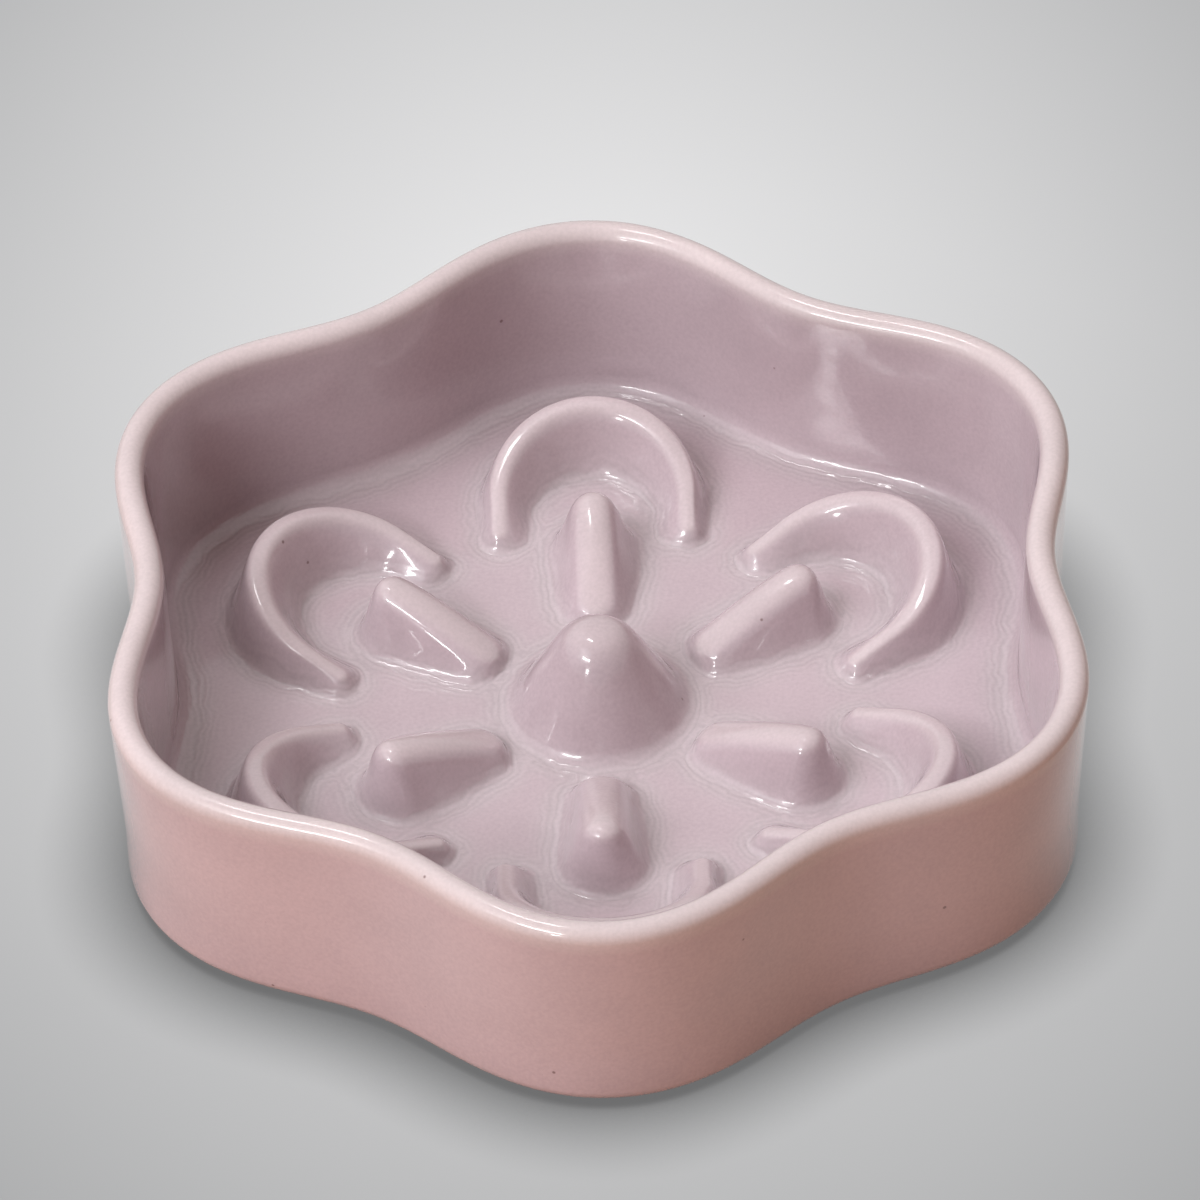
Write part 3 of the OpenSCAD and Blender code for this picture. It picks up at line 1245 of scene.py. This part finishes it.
@dataclass
class Studio:
    """Pale floor with a painted pool of light that fades away behind and round the bowl, an even
    sky and soft lamps.

    The floor glows softly to the eye and sheds a duller, warmer light back on the bowl. A painted
    contact shadow darkens it where the bowl stands close over it.
    """

    radius: float = 4.0
    rim_steps: int = 96
    floor_roughness: float = 0.9
    floor_specular: float = 0.1
    # Painted pool of light: the floor's colour is pale near the bowl and darker further out.
    near: Rgb = linear(232, 232, 233)
    far: Rgb = linear(168, 169, 170)
    pale_y: float = 0.085
    depth_share: float = 0.68
    fade_from: float = 0.02
    fade_to: float = 0.175
    # Painted contact shadow: how far and how deeply the floor's colour darkens round the bowl's
    # foot.
    contact_reach: float = 0.017
    contact_shade: float = 0.3
    contact_full: float = 0.4
    glow_share: float = 0.92
    bounce: Rgb = linear(205, 157, 128)
    backdrop: Rgb = linear(205, 205, 206)
    sky: Rgb = (0.185, 0.095, 0.06)
    lamps: tuple[Softbox, ...] = (
        Softbox("key_lamp", -153, 47, 3.0, 2.0, 1.8, 62.0, COOL, in_gloss=False),
        Softbox("sheen_lamp", -138, 44, 3.0, 1.5, 1.3, 6.0, COOL),
        Softbox("back_left_lamp", 126, 56, 3.0, 1.2, 1.2, 22.5, COOL, in_gloss=False),
        Softbox("back_right_lamp", 54, 56, 3.0, 1.2, 1.2, 17.0, COOL, in_gloss=False),
        Softbox("window_lamp", -127, 38, 2.5, 0.85, 0.18, 9.0),
        Softbox("low_glint_lamp", -117, 22, 2.5, 0.22, 0.22, 3.5),
        Softbox("high_glint_lamp", 131, 72, 2.5, 0.15, 0.5, 3.5),
    )

    def build(self) -> None:
        """Makes the floor, the sky and the lamps."""
        self.build_floor()
        self.build_sky()
        for lamp in self.lamps:
            lamp.build()

    def build_floor(self) -> None:
        rim = np.pad(self.radius * headings(around(self.rim_steps)), ((0, 0), (0, 1)))
        mesh = bpy.data.meshes.new("studio_floor")
        mesh.from_pydata(rim.tolist(), [], [tuple(range(self.rim_steps))])
        mesh.materials.append(self.floor_material())
        floor = bpy.data.objects.new("studio_floor", mesh)
        bpy.context.scene.collection.objects.link(floor)

    def floor_material(self) -> bpy.types.Material:
        """Builds the floor's material: a painted pool of light, pale in an oval round the bowl and
        darker further out, and a painted contact shadow.

        Returns:
            The new material.
        """
        material = bpy.data.materials.new("studio_floor")
        material.use_nodes = True
        tree = Nodes(material.node_tree)
        shader = material.node_tree.nodes["Principled BSDF"]
        shader.inputs["Roughness"].default_value = self.floor_roughness
        shader.inputs["Specular IOR Level"].default_value = self.floor_specular
        oval = tree.add("ShaderNodeMapping")
        oval.inputs["Scale"].default_value = (1.0, self.depth_share, 1.0)
        oval.inputs["Location"].default_value = (0.0, -self.pale_y * self.depth_share, 0.0)
        tree.link(tree.add("ShaderNodeTexCoord").outputs["Object"], oval.inputs["Vector"])
        distance = tree.add("ShaderNodeVectorMath")
        distance.operation = "LENGTH"
        tree.link(oval.outputs["Vector"], distance.inputs[0])
        # Painted pool of light: the colour fades from pale near the bowl to darker further out.
        fade = tree.span(distance.outputs["Value"], self.fade_from, self.fade_to, 0.0, 1.0)
        # Painted contact shadow: ambient occlusion darkens the floor's colour where the bowl stands
        # close over it.
        contact = tree.add("ShaderNodeAmbientOcclusion")
        contact.inputs["Distance"].default_value = self.contact_reach
        open_share = contact.outputs["AO"]
        shade = tree.span(open_share, self.contact_full, 1.0, self.contact_shade, 1.0)
        seen = tree.tint(tree.mix(fade, self.near, self.far), shade)
        looked_at = tree.looked_at()
        tree.link(tree.mix(looked_at, self.bounce, seen), shader.inputs["Base Color"])
        glow = tree.add("ShaderNodeEmission")
        tree.link(seen, glow.inputs["Color"])
        blend = tree.add("ShaderNodeMixShader")
        tree.link(tree.span(looked_at, 0.0, 1.0, 0.0, self.glow_share), blend.inputs[0])
        tree.link(shader.outputs["BSDF"], blend.inputs[1])
        tree.link(glow.outputs["Emission"], blend.inputs[2])
        output = next(n for n in material.node_tree.nodes if n.type == "OUTPUT_MATERIAL")
        tree.link(blend.outputs["Shader"], output.inputs["Surface"])
        return material

    def build_sky(self) -> None:
        """Makes the dim warm light all round, which looks like a pale backdrop."""
        world = bpy.data.worlds.new("studio_sky")
        world.use_nodes = True
        tree = Nodes(world.node_tree)
        background = world.node_tree.nodes["Background"]
        colour = tree.mix(tree.looked_at(), self.sky, self.backdrop)
        tree.link(colour, background.inputs["Color"])
        bpy.context.scene.world = world


def main() -> None:
    """Builds the camera, the studio and the bowl."""
    logging.basicConfig(level=logging.INFO, format="%(name)s: %(message)s")
    bpy.context.scene.view_settings.view_transform = "Standard"
    Camera().build()
    Studio().build()
    Bowl(glaze=Glaze().material(), clay=BareClay().material()).build()


if __name__ == "__main__":
    main()
